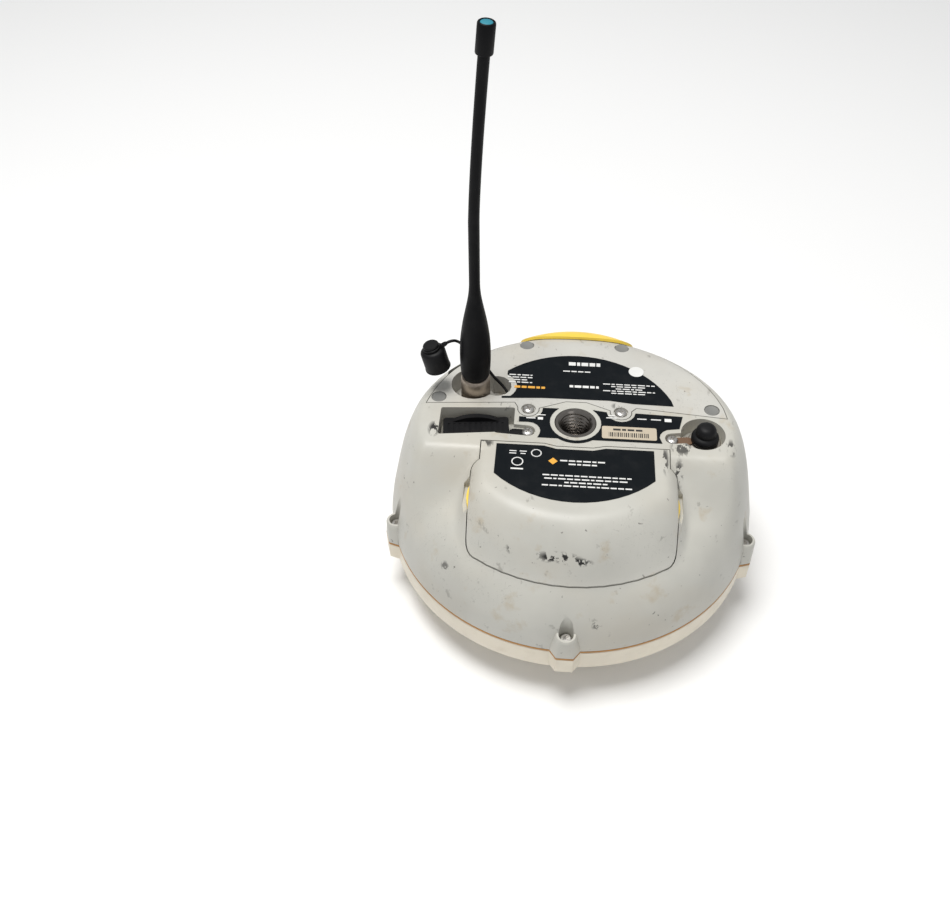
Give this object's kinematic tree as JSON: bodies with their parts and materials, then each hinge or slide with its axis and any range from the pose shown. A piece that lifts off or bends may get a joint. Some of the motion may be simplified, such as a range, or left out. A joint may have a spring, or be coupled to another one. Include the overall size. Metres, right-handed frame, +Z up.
{
  "type": "gnss receiver",
  "caption": "Round surveying receiver upside down on its radome, showing the pole thread, battery door, capped ports and a screw-on radio whip.",
  "frame": {"origin": "on the floor under the pole thread, at the middle of the flat top of the radome that the unit stands on", "axes": "+Z up out of the pole thread and along the whip, -Y towards the battery door, +Y towards the control panel, -X towards the whip"},
  "size_m": [0.1914, 0.1942, 0.2873],
  "materials": {
    "cream": "satin",
    "grey": "satin paint",
    "dark_grey": "matte",
    "amber": "matte",
    "yellow": "satin",
    "nickel": "nickel plated",
    "steel": "stainless",
    "rubber": "matte",
    "label": "printed film",
    "silver": "foil film",
    "teal": "matte",
    "white": "matte",
    "board": "solder mask",
    "ceramic": "matte",
    "pack": "matte",
    "tin": "tinned"
  },
  "bodies": {
    "unit": {"radome": "cream", "housing": "grey", "radio_cover": "grey", "rim_gasket": "amber", "front_panel": "yellow", "pole_insert": "nickel", "tnc_jack": "nickel", "tnc_nut": "nickel", "lanyard_ring": "nickel", "port_1_connector": "nickel", "port_2_connector": "nickel", "dust_cap": "rubber", "lanyard": "rubber", "lanyard_loop": "rubber", "lanyard_ferrule": "rubber", "port_1_strap": "rubber", "port_2_strap": "rubber", "battery_contacts": "white", "label_upper": "label", "label_middle": "label", "serial_plate": "silver", "panel_board": "board", "main_board": "board", "ground_plane": "tin", "rf_shield": "tin", "radio_module": "tin", "antenna_element": "ceramic", "rim_screw_1": "steel", "rim_screw_2": "steel", "rim_screw_3": "steel", "rim_screw_4": "steel", "rim_screw_5": "steel", "panel_screw_1": "steel", "cover_plug_1": "dark_grey", "panel_screw_2": "steel", "cover_plug_2": "dark_grey", "panel_screw_3": "steel", "cover_plug_3": "dark_grey", "panel_screw_4": "steel", "cover_plug_4": "dark_grey", "led_lens_1": "white", "led_lens_2": "white", "led_lens_3": "white"},
    "door": {"battery_door": "grey", "battery": "pack", "label_lower": "label"},
    "latch_left": {"latch_left": "yellow"},
    "latch_right": {"latch_right": "yellow"},
    "power_button": {"power_button": "white"},
    "antenna_lift": {"antenna_pin": "white"},
    "antenna": {"antenna_collar": "nickel", "antenna_whip": "rubber", "antenna_tip": "rubber", "antenna_tip_disc": "teal"},
    "port_1_cap": {"port_1_cap": "rubber"},
    "port_2_cap": {"port_2_cap": "rubber"}
  },
  "joints": [
    {"name": "door_pull", "type": "slide", "parent": "unit", "child": "door", "axis": [0, 0, 1], "range_m": [0, 0.04]},
    {"name": "latch_left_press", "type": "slide", "parent": "door", "child": "latch_left", "axis": [1, 0, 0], "range_m": [0, 0.002], "stiffness_N_per_m": 800, "springref_m": -0.0005},
    {"name": "latch_right_press", "type": "slide", "parent": "door", "child": "latch_right", "axis": [-1, 0, 0], "range_m": [0, 0.002], "stiffness_N_per_m": 800, "springref_m": -0.0005},
    {"name": "power_press", "type": "slide", "parent": "unit", "child": "power_button", "axis": [0.1426, -0.8537, -0.5008], "range_m": [0, 0.0008], "stiffness_N_per_m": 900, "springref_m": -0.0003},
    {"name": "antenna_rise", "type": "slide", "parent": "unit", "child": "antenna_lift", "axis": [0, 0, 1], "range_m": [0, 0.00499]},
    {"name": "antenna_turn", "type": "hinge", "parent": "antenna_lift", "child": "antenna", "pos_m": [-0.0518, 0.022, 0.088], "axis": [0, 0, 1], "range_deg": [0, 1980]},
    {"name": "port_1_cap_pull", "type": "slide", "parent": "unit", "child": "port_1_cap", "axis": [0, 0, 1], "range_m": [0, 0.012]},
    {"name": "port_2_cap_pull", "type": "slide", "parent": "unit", "child": "port_2_cap", "axis": [0, 0, 1], "range_m": [0, 0.014]}
  ],
  "couplings": [
    {"joint": "antenna_turn", "follows": "antenna_rise", "rad_per_m": 6927.6}
  ]
}
